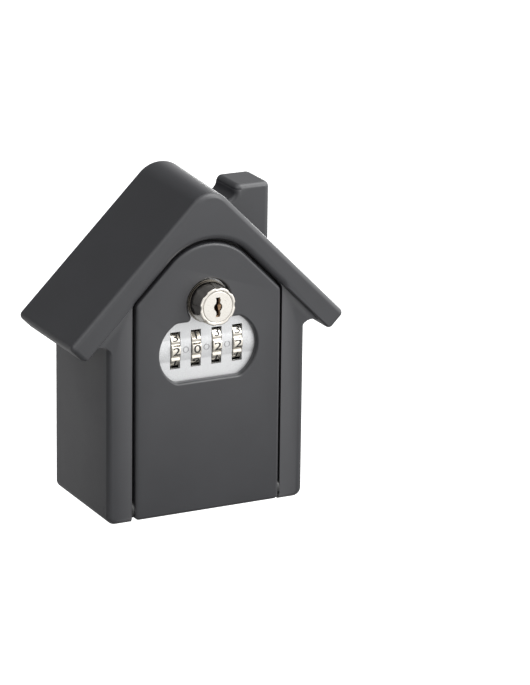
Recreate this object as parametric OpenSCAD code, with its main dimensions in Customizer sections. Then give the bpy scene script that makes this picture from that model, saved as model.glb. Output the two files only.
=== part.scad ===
// Key lock box in the shape of a small house, for hanging on a wall.
// The door drops forward on a pin at its foot, and carries a four-dial code lock and a keyed knob.
// X runs to the right, the front faces -Y and the wall is the plane Y = 0, and Z is up.
// The origin is the middle of the base, on the wall. A depth is a distance out from the wall.

/* [Case] */
// Width of the case below the roof
body_w = 95.4; // [94:0.2:97]
// Depth of the door jambs' front face
jamb_depth = 57; // [56:0.5:58]
// Height where the two roof slopes would meet, before the ridge is rounded
apex_z = 150.6; // [150:0.1:151.2]
// Distance from the middle to the outer corner of an eave
eave_x = 66.6; // [64:0.2:68]
// Thickness of the roof, square to its slope
roof_t = 10.3; // [10:0.1:10.6]
// Radius of the rounded ridge
ridge_r = 8.6; // [8:0.2:11]
// How far the roof's front stands proud of the jambs
fascia_proud = 2.5; // [1.5:0.5:3]
// Thickness of the side walls, the rear wall and the floor
wall = 3.5; // [3:0.5:4]

/* [Chimney] */
// Width of the chimney, across the front
chimney_w = 17; // [14:0.5:18]
// Length of the chimney, from front to back
chimney_l = 21.5; // [16:0.5:23]
// Distance of the chimney's middle from the middle of the case
chimney_x = 29.3; // [29:0.1:33]
// Depth of the chimney's middle
chimney_depth = 30.5; // [26:0.5:34]
// Height of the chimney's top
chimney_z = 142.6; // [140:0.1:145]

/* [Door] */
// Width of the door
door_w = 70; // [69.6:0.2:71]
// Height where the door's two sloping shoulders would meet
shoulder_peak_z = 134.2; // [134:0.1:135]
// Radius of the round top of the door
arch_r = 25.2; // [24:0.1:26]
// Depth of the door's front face
door_depth = 58.5; // [58:0.1:59]
// Thickness of the door
door_t = 5; // [5:0.1:5.4]
// Gap round the door
door_gap = 1.2; // [0.8:0.1:1.4]
// Height of the hinge pin
hinge_z = 5.6; // [5.6:0.1:6]
// Radius of the hinge pin
pin_r = 1.5; // [1.4:0.05:1.6]

/* [Lock] */
// Height of the lock's axis
lock_z = 97.1; // [96.9:0.1:97.9]
// Radius of the knob at its face
knob_r = 8.6; // [8.4:0.1:8.9]
// Depth of the knob's face
knob_depth = 67; // [66:0.5:68]
// Radius of the knob's barrel
barrel_r = 8; // [7.8:0.1:8]
// Radius of the key plug
plug_r = 6.2; // [6:0.1:6.2]
// Reach of the cam from the lock's axis
cam_reach = 19; // [18:0.5:20]

/* [Dials] */
// Radius of a dial wheel
dial_r = 10; // [9.6:0.1:10]
// Width of a dial wheel
dial_w = 4.4; // [4:0.1:4.4]
// Distance between neighbouring dials
dial_pitch = 10; // [9.8:0.1:10]
// Height of the dials' axis
dial_z = 76; // [75.5:0.1:76.1]
// How far a dial stands proud of its plate
dial_proud = 1.8; // [1.4:0.1:2]
// Number of places on each dial
dial_places = 10; // [8:1:10]

/* [Fixing] */
// Distance between the wall holes, across
hole_dx = 56; // [50:1:60]
// Distance between the wall holes, up and down
hole_dz = 70; // [60:1:72]
// Radius of a wall hole
hole_r = 2.75; // [2.25:0.25:3]
// Thickness of the rubber pad on the back
pad_t = 1.5; // [1:0.5:2]

/* [Hidden] */

$fn = 64;
hull_fn = 32;
rim_step = 30;          // turn between one level of a rounded rim and the next
eps = 0.5;              // overlap that keeps two joined shapes from only touching
toe = 0.05;             // depth by which the ends of a fillet are sunk into its neighbours
run_gap = 0.05;         // radial clearance of a shaft in its hole
rt2 = sqrt(2);

// Case
half_w = body_w / 2;
fascia_depth = jamb_depth + fascia_proud;
base_r = 4;             // radius of the case's lower corners
rim_r = 2.4;            // radius round the front rims
edge_r = 3;             // radius of the case's upright edges and of the eaves' ends
soffit_sum = apex_z - roof_t * rt2;      // x + z along the underside of the roof
cavity_sum = soffit_sum - 1.1;           // x + z along the sloping ceiling inside
ceiling_z = 123;        // flat part of the ceiling, under the ridge
rear_in = wall + pad_t; // depth of the inside face of the rear wall
ledge_depth = 51.5;     // depth of the ledge that the seal lies on
ledge_t = 3;
ledge_in = 2.5;         // how far the ledge reaches in past the door's edge
ledge_z = 14;           // the ledge starts above the hinge
soffit_fillet = 3.5;
chimney_fillet = 4.5;
chimney_left = chimney_x - chimney_w / 2;
core_wall = 2.75;       // metal left round the cores in the roof
core_front = 8;         // metal left in front of the cores
core_span = 62;         // length of a core along the slope
pad_x = 42;             // half the width of the rubber pad
pad_sum = 133;          // x + z along the pad's sloping edges
gable_z = 105;          // the gable is solid above this height, until the door opening is cut
hole_z = 20;            // height of the lower wall holes

// Fittings inside the case
bracket_depths = [22, 33.7];             // depths of the strike's flange, which is screwed to the ceiling
bracket_x = 10;
bracket_t = 2;
strike_x = 9;
strike_screw_x = 5.5;
strike_screw_depth = 27;
strike_screw_len = 8;
hook_z = 52;
hook_r = 2;
hook_depth = 14;        // depth of the hook's upturned end
mat_t = 2;
mat_depths = [7, 46];

// Door
half_door = door_w / 2;
shoulder_r = 3.5;
door_foot = 1;          // height of the door's lower edge
foot_r = 2;             // radius of the door's lower corners
door_rim = 1.6;         // radius round the door's front edge
pocket_x = 29;          // half the width of the lightening pocket in the door's back
pocket_z = [14, 52];
pocket_t = 2;
door_back = door_depth - door_t;
hinge_depth = door_back;
knuckle_r = 4.2;
washer_t = door_gap - 0.2;
foot_swing = 6.1;       // radius that the foot of the door sweeps about the pin
hinge_room = 0.5;       // how much wider the case opens behind the jambs, beside the hinge
plate_depth = door_depth - 3;            // depth of the dial plate's face, in its recess

// Recess for the dial plate, measured from its own middle
recess_z = dial_z - 0.75;
recess_h = 13.4;        // half its height
recess_end_r = 15;      // radius of its rounded ends
recess_end_x = 8.4;     // where the rounded ends are centred
recess_corner_r = 4;
recess_knob_r = 10.2;   // radius of its lobe round the knob
recess_fillet = 2;      // radius where the lobe runs into the top edge
seat_margin = 1.3;      // how far the plate's seat reaches out behind the recess

// Lock and dials
dial_depth = plate_depth + dial_proud - dial_r;
dial_xs = [for (i = [0:3]) (i - 1.5) * dial_pitch];
slot_w = dial_w + 0.5;
slot_h = 16.8;
axle_r = 2;
sleeve_r = 3;
tumbler_r = 6;
tumbler_from = dial_w / 2 + 0.3;         // start of a tumbler, from its dial's middle
tumbler_w = 4;
cover_t = 1.5;
cover_depth = 36.5;     // depth of the cover's front face
housing_x = 25;
housing_wall = 3;
housing_z = [dial_z - 14, dial_z + 14];
chamber_z = [dial_z - 12, dial_z + 12.5];
ear_x = 28.5;
ear_zs = [dial_z - 10.5, dial_z + 10.5];
ear_r = 3.5;
ear_web = 1.5;          // half the thickness of the web that carries an ear
tower_r = barrel_r + 2.2;
tower_back = 44.5;
screw_r = 1.25;
screw_len = 21;
head_t = 1.8;           // thickness of a screw's head
collar_depth = plate_depth + 1.5;
knob_base = collar_depth + 0.2;          // depth of the knob's underside
knob_base_r = knob_r + 0.6;
knob_flutes = 8;
flute_r = [1.6, 3.4];   // radius of a flute near the knob's foot, and at its face
flute_out = 2.6;        // distance of a flute's axis outside the knob's face radius
barrel_back = 33;
barrel_flat = 7;        // distance of the barrel's flat from its axis
groove_r = 7.3;
groove_depths = [33.8, 34.8];
clip_r = 10.8;
clip_depth = 33.95;
clip_t = 0.75;
cap_t = 1.1;
cap_r = 7;
dimple_r = [0.6, 2.1];  // the keyway starts in a cone that guides the key
wafer_count = 5;
wafer_pitch = 4;
wafer_t = 0.9;
wafer_from = 40;        // depth of the back of the first wafer
wafer_x = 3.1;
wafer_z = 5.3;
wafer_rises = [0.4, -0.4, 0, 0.6, -0.2]; // height of each wafer's window
window_x = 1.1;
window_z = 3.2;
cam_t = 2.5;
cam_w = 9;
cam_hub_r = 7;
cam_depth = barrel_back - 0.3;           // depth of the cam's front face
tail_back = cam_depth - cam_t;
tail_r = 4;
tail_flat = 3;          // distance of the tail's flats from its axis
tail_screw_r = 1.6;
tail_screw_len = 7.3;
washer_in_t = 0.8;      // thickness of the washer behind the cam
hex_r = 3.6;
hex_t = 2.5;
keyway_w = 1.7;
keyway_h = 8.2;
keyway_back = 37;
strike_back = cam_depth + 0.5;
strike_t = 2.5;
strike_low = lock_z + cam_reach - 4.1;
bar_depths = [38, 41];
bar_z = dial_z + 10.1;
bar_t = 1.8;
follower_x = 2;
bar_top = lock_z - barrel_flat - 0.7;    // top of the bar's follower, under the barrel's flat
tooth_depths = [38, 44];
tooth_margin = 0.6;     // a tooth is this much narrower than its tumbler on either side
tooth_low = dial_z + tumbler_r + 1.4;
notch_w = 2.4;
notch_depth = 2.2;
lever_x = 9;
lever_depths = [36.8, 43];
lever_tab_x = 2;
lever_tab_back = 31.5;
lever_z = [dial_z - 11.8, dial_z - 10.4];
lever_travel = 4;

// ---- Shared shapes -----------------------------------------------------------------------------

// Range of a given half-width about a middle
function span(middle, half) = [middle - half, middle + half];

// Points along an arc
function arc(c, r, from, to, steps) =
    [for (i = [0:steps]) let (a = from + (to - from) * i / steps) c + r * [cos(a), sin(a)]];

// Door outline in X and Z, grown by off all round
function door_outline(off) = let (
    cx = half_door - shoulder_r,
    cz = shoulder_peak_z - shoulder_r * rt2 - cx,
    top = shoulder_peak_z - arch_r * rt2,
    foot = door_foot - off) concat(
    [[-half_door - off, foot], [half_door + off, foot]],
    arc([cx, cz], shoulder_r + off, 0, 45, 6),
    arc([0, top], arch_r + off, 45, 135, 24),
    arc([-cx, cz], shoulder_r + off, 135, 180, 6));

// Outline of the dial plate's recess, grown by off all round
function recess_outline(off) = let (
    corner = [recess_end_x + sqrt(pow(recess_end_r - recess_corner_r, 2)
        - pow(recess_h - recess_corner_r, 2)), recess_h - recess_corner_r],
    turn = atan2(corner[1], corner[0] - recess_end_x),
    lobe = lock_z - recess_z,
    dip_z = recess_h + recess_fillet,
    dip_x = sqrt(pow(recess_knob_r + recess_fillet, 2) - pow(lobe - dip_z, 2)),
    lean = atan2(lobe - dip_z, dip_x),
    right = concat(
        arc([corner[0], -corner[1]], recess_corner_r + off, -90, -turn, 4),
        arc([recess_end_x, 0], recess_end_r + off, -turn, turn, 16),
        arc(corner, recess_corner_r + off, turn, 90, 4),
        arc([dip_x, dip_z], recess_fillet - off, 270, 180 - lean, 8),
        arc([0, lobe], recess_knob_r + off, -lean, 90, 20)),
    count = len(right)) concat(
    [for (p = right) p + [0, recess_z]],
    [for (i = [2:count]) let (p = right[count - i]) [-p[0], p[1] + recess_z]]);

// Extrude an outline drawn in X and Z from one depth out to another
module panel(back, front)
    translate([0, -back, 0]) rotate([90, 0, 0]) linear_extrude(front - back) children();

// Extrude an outline drawn in Y and Z from one X to another
module profile(x0, x1)
    translate([x0, 0, 0]) rotate([90, 0, 90]) linear_extrude(x1 - x0) children();

module block(x, depths, z)
    translate([x[0], -depths[1], z[0]]) cube([x[1] - x[0], depths[1] - depths[0], z[1] - z[0]]);

module rod_y(r, back, front, x = 0, z = 0)
    translate([x, -back, z]) rotate([90, 0, 0]) cylinder(r = r, h = front - back);

module rod_x(r, x0, x1, depth, z)
    translate([x0, -depth, z]) rotate([0, 90, 0]) cylinder(r = r, h = x1 - x0);

// Convex shape drawn round posts [x, y, r] standing on Z, with a rounded rim at the top,
// and at the foot as well where foot is true. Each post's radius is larger than the rim's
module soft_block(posts, z0, z1, rim, foot = false)
    hull() for (a = [0:rim_step:90], p = posts) {
        drop = rim * (1 - sin(a));
        from = foot ? z0 + drop : z0;
        translate([p[0], p[1], from])
            cylinder(r = p[2] - rim * (1 - cos(a)), h = z1 - drop - from);
    }

// The same, with its rounded rim at the front
module soft_panel(posts, back, front, rim, foot = false)
    translate([0, -back, 0]) rotate([90, 0, 0]) soft_block(posts, 0, front - back, rim, foot);

module both_sides() {
    children();
    mirror([1, 0, 0]) children();
}

// ---- Case --------------------------------------------------------------------------------------

module case_block() {
    lower = half_w - base_r;
    upper = half_w - edge_r;
    soft_panel($fn = hull_fn, back = pad_t, front = jamb_depth, rim = rim_r, posts = [
        [-lower, base_r, base_r], [lower, base_r, base_r],
        [-upper, soffit_sum - upper, edge_r], [upper, soffit_sum - upper, edge_r],
        [0, soffit_sum - 2 * edge_r, 2 * edge_r]]);
}

module roof() {
    eave_z = apex_z - eave_x;
    inner_x = eave_x - roof_t / rt2;
    inner_z = eave_z - roof_t / rt2 + edge_r * rt2;
    outer_x = eave_x - edge_r * rt2;
    difference() {
        soft_panel($fn = hull_fn, back = pad_t, front = fascia_depth, rim = rim_r, foot = true, posts = [
            [-outer_x, eave_z, edge_r], [outer_x, eave_z, edge_r],
            [-inner_x, inner_z, edge_r], [inner_x, inner_z, edge_r],
            [0, apex_z - ridge_r * rt2, ridge_r]]);
        panel(0, fascia_depth + 1) polygon([
            [gable_z - soffit_sum, gable_z], [soffit_sum - gable_z, gable_z],
            [soffit_sum, 0], [-soffit_sum, 0]]);
        both_sides() roof_core();
    }
}

// Hollow cast into one side of the roof from behind
module roof_core()
    translate([eave_x, -fascia_depth + core_front, apex_z - eave_x]) rotate([0, 45, 0])
        translate([-core_span - 2 * core_wall, 0, core_wall - roof_t])
            cube([core_span, fascia_depth, roof_t - 2 * core_wall]);

module chimney() {
    x = chimney_w / 2 - edge_r;
    y = chimney_l / 2 - edge_r;
    translate([chimney_x, -chimney_depth, 0])
        soft_block($fn = hull_fn, z0 = gable_z - chimney_w / 2, z1 = chimney_z, rim = rim_r,
            posts = [for (sx = [-x, x], sy = [-y, y]) [sx, sy, edge_r]]);
    // Fillet in the groove between the chimney and the roof
    centre = [chimney_left - chimney_fillet + toe,
        apex_z + chimney_fillet * rt2 - chimney_left + chimney_fillet - 2 * toe];
    panel(chimney_depth - y, chimney_depth + y) polygon(concat(
        [[chimney_left + 1, apex_z - chimney_left - roof_t / 2], [chimney_left + 1, centre[1]]],
        arc(centre, chimney_fillet, 0, -135, 12)));
}

// Fillet where a side wall meets the underside of the roof
module soffit_blend() {
    centre = [half_w + soffit_fillet - toe,
        soffit_sum - soffit_fillet * rt2 - half_w - soffit_fillet + 2 * toe];
    panel(pad_t, jamb_depth - rim_r) polygon(concat(
        [[half_w - 1, soffit_sum - half_w + 2], [half_w - 1, centre[1]]],
        arc(centre, soffit_fillet, 180, 45, 12)));
}

module body_shell() color("dimgray") difference() {
    union() {
        case_block();
        roof();
        chimney();
        both_sides() soffit_blend();
    }
    // Door opening, square at its foot, with a ledge behind it for the seal
    panel(ledge_depth, fascia_depth + 1) {
        polygon(door_outline(door_gap));
        translate([-half_door - door_gap, -1]) square([door_w + 2 * door_gap, ledge_z]);
    }
    panel(ledge_depth - ledge_t - eps, ledge_depth + eps) polygon(door_outline(-ledge_in));
    // Room for the hinge and for the foot of the door to swing through
    block(span(0, half_door + door_gap + hinge_room), [hinge_depth - foot_swing, hinge_depth],
        [-1, ledge_z]);
    // Space for the keys
    panel(rear_in, ledge_depth - ledge_t) polygon([
        [-half_w + wall, wall], [half_w - wall, wall],
        [half_w - wall, cavity_sum - half_w + wall], [cavity_sum - ceiling_z, ceiling_z],
        [ceiling_z - cavity_sum, ceiling_z], [-half_w + wall, cavity_sum - half_w + wall]]);
    // The hinge pin is pushed in from the right and stops inside the left jamb
    rod_x(pin_r + run_gap, -half_w + wall, half_w + 1, hinge_depth, hinge_z);
    wall_holes(hole_r);
    strike_holes(screw_r + run_gap, ceiling_z - eps, strike_screw_len - 1);
    rod_y(hook_r + run_gap, pad_t + 1, rear_in + 1, 0, hook_z);
}

module wall_holes(r)
    for (x = [-hole_dx / 2, hole_dx / 2], z = [hole_z, hole_z + hole_dz])
        rod_y(r, -1, rear_in + 1, x, z);

module strike_holes(r, z, h)
    for (x = [-strike_screw_x, strike_screw_x])
        translate([x, -strike_screw_depth, z]) cylinder(r = r, h = h);

module rear_pad() color("black") difference() {
    panel(0, pad_t) polygon([[-pad_x, 0], [pad_x, 0], [pad_x, pad_sum - pad_x],
        [0, pad_sum], [-pad_x, pad_sum - pad_x]]);
    wall_holes(hole_r + 0.75);
}

module hinge_pin() color("silver") rod_x(pin_r, -half_w + wall + 0.5, half_w - 1, hinge_depth, hinge_z);

module hinge_washers() color("ivory") both_sides() difference() {
    rod_x(knuckle_r - 0.4, half_door + 0.1, half_door + 0.1 + washer_t, hinge_depth, hinge_z);
    rod_x(pin_r + run_gap, half_door, half_door + washer_t + 1, hinge_depth, hinge_z);
}

module door_seal() color("black") difference() {
    panel(ledge_depth, door_back - 0.5) intersection() {
        polygon(door_outline(door_gap - 0.3));
        translate([-half_w, ledge_z]) square([body_w, apex_z]);
    }
    panel(ledge_depth - 1, door_back) polygon(door_outline(-ledge_in + 0.2));
}

module strike_plate() color("silver") difference() {
    union() {
        block(span(0, strike_x), [strike_back, strike_back + strike_t], [strike_low, ceiling_z]);
        block(span(0, bracket_x), bracket_depths, [ceiling_z - bracket_t, ceiling_z]);
    }
    strike_holes(screw_r + run_gap, ceiling_z - bracket_t - 1, bracket_t + 2);
}

module strike_screws() color("gray") {
    strike_holes(screw_r, ceiling_z - bracket_t, strike_screw_len);
    strike_holes(2 * screw_r, ceiling_z - bracket_t - head_t, head_t);
}

module key_hook() color("silver") {
    rod_y(hook_r, pad_t + 1.2, hook_depth + hook_r, 0, hook_z);
    translate([0, -hook_depth, hook_z]) {
        cylinder(r = hook_r, h = 3.5 * hook_r);
        sphere(r = hook_r + 0.2);
    }
}

module floor_mat() color("black")
    block(span(0, half_w - wall - 1), mat_depths, [wall, wall + mat_t]);

// ---- Door --------------------------------------------------------------------------------------

module door_panel() color("dimgray") difference() {
    union() {
        soft_panel($fn = 2 * hull_fn, back = door_back, front = door_depth, rim = door_rim, posts = [
            for (s = [-1, 1]) [s * (half_door - foot_r), door_foot + foot_r, foot_r],
            for (s = [-1, 1]) [s * (half_door - shoulder_r),
                shoulder_peak_z - shoulder_r * rt2 - half_door + shoulder_r, shoulder_r],
            [0, shoulder_peak_z - arch_r * rt2, arch_r]]);
        rod_x(knuckle_r, -half_door, half_door, hinge_depth, hinge_z);
    }
    // Recess for the dial plate, with a wider seat behind it
    panel(door_back - 1, door_depth + 1) polygon(recess_outline(0));
    panel(door_back - 1, plate_depth) polygon(recess_outline(seat_margin));
    rod_x(pin_r + run_gap, -half_door - 1, half_door + 1, hinge_depth, hinge_z);
    // Lightening pocket in the back, below the lock
    block(span(0, pocket_x), [door_back - 1, door_back + pocket_t], pocket_z);
    ears(screw_r + run_gap, door_back - 1, door_back + 3);
}

module dial_plate() color("lightgray") difference() {
    panel(door_back, plate_depth) polygon(recess_outline(seat_margin - 0.1));
    for (x = dial_xs) block(span(x, slot_w / 2), [door_back - 1, plate_depth + 1],
        span(dial_z, slot_h / 2));
    rod_y(barrel_r + run_gap, door_back - 1, plate_depth + 1, 0, lock_z);
}

module lock_collar() color("silver") difference() {
    rod_y(recess_knob_r - 0.5, plate_depth, collar_depth, 0, lock_z);
    rod_y(barrel_r + run_gap, plate_depth - 1, collar_depth + 1, 0, lock_z);
}

// Rods at the four places where the lock housing is screwed to the door
module ears(r, back, front)
    for (x = [-ear_x, ear_x], z = ear_zs) rod_y(r, back, front, x, z);

module lock_housing() color("gray") difference() {
    union() {
        block(span(0, housing_x), [cover_depth, door_back], housing_z);
        rod_y(tower_r, tower_back, door_back, 0, lock_z);
        ears(ear_r, cover_depth, door_back);
        for (z = ear_zs) block(span(0, ear_x), [cover_depth, door_back], span(z, ear_web));
    }
    difference() {
        block(span(0, housing_x - housing_wall), [cover_depth - 1, door_back + 1],
            chamber_z);
        rod_y(tower_r, tower_back, door_back, 0, lock_z);
    }
    rod_y(barrel_r + run_gap, 0, door_depth, 0, lock_z);
    rod_x(axle_r + run_gap, -housing_x + 1, housing_x + 1, dial_depth, dial_z);
    ears(screw_r + run_gap, 0, door_depth);
    // Slot that guides the locking bar's follower
    block(span(0, follower_x + 0.1), bar_depths + [-0.1, 0.1], [chamber_z[1] - eps, lock_z]);
}

module housing_cover() color("gray") difference() {
    panel(cover_depth - cover_t, cover_depth) union() {
        translate([-ear_x - ear_r, housing_z[0]])
            square([2 * (ear_x + ear_r), housing_z[1] - housing_z[0]]);
        translate([0, lock_z]) circle(r = barrel_r + 4);
    }
    rod_y(barrel_r + run_gap, 0, door_depth, 0, lock_z);
    ears(screw_r + run_gap, 0, door_depth);
    // Slot that the code-change lever reaches through
    block([-lever_tab_x - 0.3, lever_tab_x + lever_travel + 0.3], [0, door_depth],
        lever_z + [-0.2, 0.3]);
}

module cover_screws() color("silver") {
    back = cover_depth - cover_t;
    ears(screw_r, back - eps, back + screw_len);
    ears(2 * screw_r, back - head_t, back);
}

module dial_axle() color("silver")
    rod_x(axle_r, -housing_x + 1.2, housing_x - 0.2, dial_depth, dial_z);

// Comb of four bent leaves on the inside of the cover, one against each tumbler
module detent_spring() color("silver") {
    leaf_t = 0.4;
    margin = 0.8;       // a leaf is this much narrower than its tumbler on either side
    back_y = -cover_depth;
    tip_y = tumbler_r + 0.25 - dial_depth;
    strip_z = [dial_z + 3.5, dial_z + 7.5];
    block(span(0, housing_x - 4), [cover_depth, cover_depth + leaf_t], strip_z);
    for (x = dial_xs)
        profile(x + tumbler_from + margin, x + tumbler_from + tumbler_w - margin) polygon([
            [back_y, strip_z[1] - 1], [back_y, strip_z[0] - 1],
            [tip_y + leaf_t, dial_z + 1], [tip_y + leaf_t, dial_z - 1],
            [tip_y, dial_z - 1], [tip_y, dial_z + 1],
            [back_y - leaf_t, strip_z[0] - 0.8], [back_y - leaf_t, strip_z[1] - 1]]);
}

module dial_wheel(i) color("silver") difference() {
    x = dial_xs[i];
    step = 360 / dial_places;
    rod_x(dial_r, x - dial_w / 2, x + dial_w / 2, dial_depth, dial_z);
    rod_x(sleeve_r + run_gap, x - dial_w, x + dial_w, dial_depth, dial_z);
    // Finger groove between each place and the next
    for (k = [0:dial_places - 1]) let (a = (k + 0.5) * step)
        rod_x(1.6, x - dial_w, x + dial_w, dial_depth + (dial_r + 1) * cos(a),
            dial_z + (dial_r + 1) * sin(a));
}

// Notched disc that turns with a dial on a sleeve round the axle
module tumbler(i) color("goldenrod") difference() {
    x = dial_xs[i];
    union() {
        rod_x(sleeve_r, x - dial_w / 2, x + tumbler_from + tumbler_w, dial_depth, dial_z);
        rod_x(tumbler_r, x + tumbler_from, x + tumbler_from + tumbler_w, dial_depth, dial_z);
    }
    rod_x(axle_r + run_gap, x - dial_w, x + dial_w * 2, dial_depth, dial_z);
    // Notch that comes to the top with the right number
    block([x + tumbler_from - 1, x + tumbler_from + tumbler_w + 1],
        span(dial_depth, notch_w / 2), [dial_z + tumbler_r - notch_depth, dial_z + tumbler_r + 1]);
}

// ---- Knob and plug -----------------------------------------------------------------------------

// Place a shape built upwards along Z so that it points out of the door from a given depth
module out_from(depth) translate([0, -depth, lock_z]) rotate([90, 0, 0]) children();

module knob() color("silver") difference() {
    h = knob_depth - knob_base;
    union() {
        out_from(knob_base) rotate_extrude() polygon([
            [0, 0], [knob_base_r, 0], [knob_base_r, h * 0.2], [knob_r, h - 0.6],
            [knob_r - 0.6, h], [0, h]]);
        rod_y(barrel_r, barrel_back, knob_base + eps, 0, lock_z);
    }
    rod_y(plug_r + run_gap, 0, knob_depth + 1, 0, lock_z);
    rod_y(cap_r + run_gap, knob_depth - 2 * cap_t, knob_depth + 1, 0, lock_z);
    // Tapered flutes that deepen towards the face
    for (k = [0:knob_flutes - 1]) out_from(knob_base + 1) rotate([0, 0, k * 360 / knob_flutes])
        translate([knob_r + flute_out, 0, 0]) cylinder(r1 = flute_r[0], r2 = flute_r[1], h = h);
    // Groove for the retaining clip
    difference() {
        rod_y(barrel_r + 1, groove_depths[0], groove_depths[1], 0, lock_z);
        rod_y(groove_r, barrel_back, groove_depths[1] + 1, 0, lock_z);
    }
    // Flat that lifts and lowers the locking bar as the barrel turns
    block(span(0, barrel_r), bar_depths + [-0.3, 0.3], [0, lock_z - barrel_flat]);
}

module retaining_clip() color("dimgray") difference() {
    rod_y(clip_r, clip_depth, clip_depth + clip_t, 0, lock_z);
    rod_y(groove_r + run_gap, clip_depth - 1, clip_depth + clip_t + 1, 0, lock_z);
    block(span(0, clip_r / 2), [clip_depth - 1, clip_depth + clip_t + 1],
        [lock_z - clip_r - 1, lock_z]);
}

// Outline of the plug's flatted tail, grown by off
module tail(off) intersection() {
    circle(r = tail_r + off);
    square([2 * (tail_r + 1), 2 * (tail_flat + off)], center = true);
}

module key_plug() color("goldenrod") difference() {
    seat = knob_depth - cap_t;
    union() {
        rod_y(plug_r, barrel_back, seat, 0, lock_z);
        rod_y(cap_r, seat - cap_t + 0.1, seat, 0, lock_z);
        panel(tail_back, barrel_back + eps) translate([0, lock_z]) tail(0);
    }
    block(span(0, keyway_w / 2), [keyway_back, knob_depth], span(lock_z, keyway_h / 2));
    out_from(seat - 1.6) cylinder(r1 = dimple_r[0], r2 = dimple_r[1], h = 1.7);
    for (k = [0:wafer_count - 1]) block(span(0, wafer_x + 0.1),
        wafer_depths(k) + [-0.1, 0.1], span(lock_z, wafer_z + 0.1));
    rod_y(tail_screw_r + run_gap, tail_back - 1, tail_back + tail_screw_len - 1.5, 0, lock_z);
}

function wafer_depths(k) = let (back = wafer_from + k * wafer_pitch) [back, back + wafer_t];

module plug_cap() color("gainsboro") difference() {
    rod_y(cap_r, knob_depth - cap_t, knob_depth, 0, lock_z);
    rod_y(dimple_r[1] - 0.05, knob_depth - 2, knob_depth + 1, 0, lock_z);
    block(span(0, keyway_w / 2 + 0.1), [knob_depth - 2, knob_depth + 1],
        span(lock_z, keyway_h / 2 + 0.3));
}

// Flat wafers in the plug, each with its window at the height of one cut on the key
module wafers() color("gold") for (k = [0:wafer_count - 1]) difference() {
    block(span(0, wafer_x), wafer_depths(k), span(lock_z, wafer_z));
    block(span(0, window_x), wafer_depths(k) + [-1, 1], span(lock_z + wafer_rises[k], window_z));
}

module cam() color("silver") panel(tail_back, cam_depth) translate([0, lock_z]) difference() {
    half = cam_w / 2;
    union() {
        circle(r = cam_hub_r);
        polygon([[0, -half], [cam_reach - 2, -half], [cam_reach, 2 - half],
            [cam_reach, half - 2], [cam_reach - 2, half], [0, half]]);
    }
    tail(run_gap);
}

module cam_washer() color("silver") difference() {
    rod_y(tail_r + 1, tail_back - washer_in_t, tail_back, 0, lock_z);
    rod_y(tail_screw_r + run_gap, tail_back - 2, tail_back + 1, 0, lock_z);
}

module cam_screw() color("dimgray") {
    head_depth = tail_back - washer_in_t - hex_t;
    rod_y(tail_screw_r, head_depth + eps, head_depth + tail_screw_len + 1, 0, lock_z);
    out_from(head_depth) cylinder(r = hex_r, h = hex_t, $fn = 6);
}

// ---- Inside the lock housing -------------------------------------------------------------------

// Comb that the knob's barrel presses towards the tumblers' notches
module locking_bar() color("goldenrod") {
    bar_x = housing_x - housing_wall - 0.4;
    block(span(0, bar_x), bar_depths, [bar_z, bar_z + bar_t]);
    block(span(0, follower_x), bar_depths, [bar_z + 1, bar_top]);
    for (x = dial_xs)
        block(span(x + tumbler_from + tumbler_w / 2, tumbler_w / 2 - tooth_margin), tooth_depths,
            [tooth_low, bar_z + 1]);
}

module code_change_lever() color("black") {
    block(span(0, lever_x), lever_depths, lever_z);
    block(span(0, lever_tab_x), [lever_tab_back, lever_depths[0] + 1], lever_z);
}

body_shell();
rear_pad();
hinge_pin();
hinge_washers();
door_seal();
strike_plate();
strike_screws();
key_hook();
floor_mat();
door_panel();
dial_plate();
lock_collar();
lock_housing();
housing_cover();
cover_screws();
dial_axle();
detent_spring();
dial_wheel(0);  // dial_wheel_1
dial_wheel(1);  // dial_wheel_2
dial_wheel(2);  // dial_wheel_3
dial_wheel(3);  // dial_wheel_4
tumbler(0);  // tumbler_1
tumbler(1);  // tumbler_2
tumbler(2);  // tumbler_3
tumbler(3);  // tumbler_4
knob();
retaining_clip();
key_plug();
plug_cap();
wafers();
cam();
cam_washer();
cam_screw();
locking_bar();
code_change_lever();
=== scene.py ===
"""Looks of the key lock box: finer meshes for the parts that show, and a procedural finish for every part.

Lengths of the object are in millimetres, and points go to metres when a mesh is made.
Materials, lights and the camera are in metres.
X runs to the right, the front faces -Y and Z is up. A depth is a distance out from the wall plane.
"""

import math

import bmesh
import bpy
from mathutils import Matrix, Vector


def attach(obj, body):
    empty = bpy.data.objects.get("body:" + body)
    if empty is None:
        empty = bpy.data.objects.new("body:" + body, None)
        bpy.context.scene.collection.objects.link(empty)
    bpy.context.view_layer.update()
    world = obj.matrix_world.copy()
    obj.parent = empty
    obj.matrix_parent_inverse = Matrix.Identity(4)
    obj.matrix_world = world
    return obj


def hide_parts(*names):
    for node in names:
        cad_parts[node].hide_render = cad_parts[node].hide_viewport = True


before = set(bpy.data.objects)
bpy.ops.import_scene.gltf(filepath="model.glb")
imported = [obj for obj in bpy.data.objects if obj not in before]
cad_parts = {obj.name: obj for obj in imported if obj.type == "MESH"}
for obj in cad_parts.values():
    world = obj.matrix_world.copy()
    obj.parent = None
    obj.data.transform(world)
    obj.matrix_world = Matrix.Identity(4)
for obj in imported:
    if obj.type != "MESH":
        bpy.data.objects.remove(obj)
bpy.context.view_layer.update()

MM = 0.001
RT2 = math.sqrt(2)

# ---- Sizes -------------------------------------------------------------------------------------

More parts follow.
